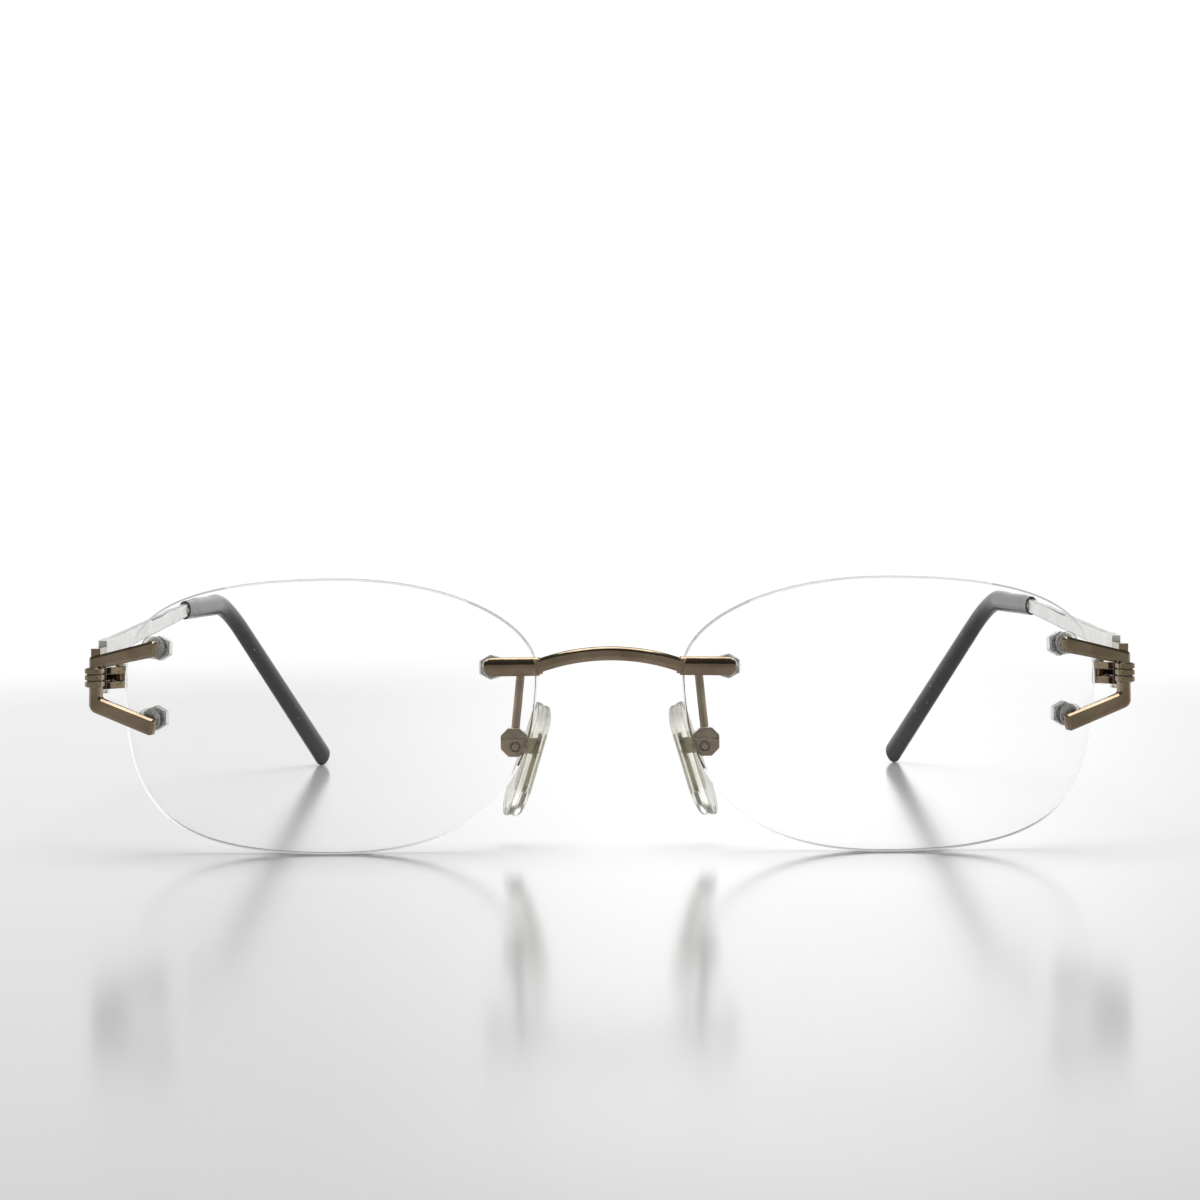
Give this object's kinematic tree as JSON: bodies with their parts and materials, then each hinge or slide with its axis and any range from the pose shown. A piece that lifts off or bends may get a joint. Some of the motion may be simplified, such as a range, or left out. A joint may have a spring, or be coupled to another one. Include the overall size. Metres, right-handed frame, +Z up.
{
  "type": "eyeglasses",
  "caption": "Rimless eyeglasses: drilled oval lenses held by nuts, arched bridge, two-pronged ribbed endpieces, rocking nose pads and folding temples with dark curved tips.",
  "frame": {"origin": "on the surface that the glasses stand on, under the middle of their box, with the temples open", "axes": "+Z up, the lenses face -Y, the temples run to +Y, the wearer's left is +X"},
  "size_m": [0.134, 0.1266, 0.0352],
  "materials": {
    "frame_metal": "polished pewter-brown plating",
    "temple_metal": "polished pale nickel plating",
    "fastener_metal": "bright turned steel",
    "lens_clear": "clear polished lens",
    "bush_clear": "clear moulded plastic",
    "pad_clear": "clear soft moulded silicone, slightly yellowed",
    "tip_plastic": "gloss black moulded acetate"
  },
  "bodies": {
    "front": {"bridge": "frame_metal", "left_lens": "lens_clear", "left_endpiece": "frame_metal", "left_endpiece_collar": "frame_metal", "left_hinge_front_leaf": "frame_metal", "left_hinge_screw": "fastener_metal", "left_endpiece_hex_nuts": "fastener_metal", "left_endpiece_metal_washers": "fastener_metal", "left_endpiece_rear_bushes": "bush_clear", "left_endpiece_front_washers": "bush_clear", "left_bridge_hex_nut": "fastener_metal", "left_bridge_metal_washer": "fastener_metal", "left_bridge_rear_bush": "bush_clear", "left_bridge_front_washer": "bush_clear", "left_pad_arm": "frame_metal", "left_pad_box": "frame_metal", "left_pad_screw": "frame_metal", "right_lens": "lens_clear", "right_endpiece": "frame_metal", "right_endpiece_collar": "frame_metal", "right_hinge_front_leaf": "frame_metal", "right_hinge_screw": "fastener_metal", "right_endpiece_hex_nuts": "fastener_metal", "right_endpiece_metal_washers": "fastener_metal", "right_endpiece_rear_bushes": "bush_clear", "right_endpiece_front_washers": "bush_clear", "right_bridge_hex_nut": "fastener_metal", "right_bridge_metal_washer": "fastener_metal", "right_bridge_rear_bush": "bush_clear", "right_bridge_front_washer": "bush_clear", "right_pad_arm": "frame_metal", "right_pad_box": "frame_metal", "right_pad_screw": "frame_metal"},
    "left_temple": {"left_temple": "temple_metal", "left_temple_tip": "tip_plastic", "left_hinge_temple_leaf": "frame_metal"},
    "right_temple": {"right_temple": "temple_metal", "right_temple_tip": "tip_plastic", "right_hinge_temple_leaf": "frame_metal"},
    "left_pad": {"left_nose_pad": "pad_clear", "left_pad_insert": "frame_metal"},
    "right_pad": {"right_nose_pad": "pad_clear", "right_pad_insert": "frame_metal"}
  },
  "joints": [
    {"name": "left_temple_fold", "type": "hinge", "parent": "front", "child": "left_temple", "pos_m": [0.0632, -0.0553, 0.02245], "axis": [0, 0, 1], "range_deg": [0, 83]},
    {"name": "right_temple_fold", "type": "hinge", "parent": "front", "child": "right_temple", "pos_m": [-0.0632, -0.0553, 0.02245], "axis": [0, 0, -1], "range_deg": [0, 71]},
    {"name": "left_pad_rock", "type": "hinge", "parent": "front", "child": "left_pad", "pos_m": [0.01235, -0.0559, 0.0133], "axis": [0, 1, 0], "range_deg": [-8, 8]},
    {"name": "right_pad_rock", "type": "hinge", "parent": "front", "child": "right_pad", "pos_m": [-0.01235, -0.0559, 0.0133], "axis": [0, -1, 0], "range_deg": [-8, 8]}
  ]
}
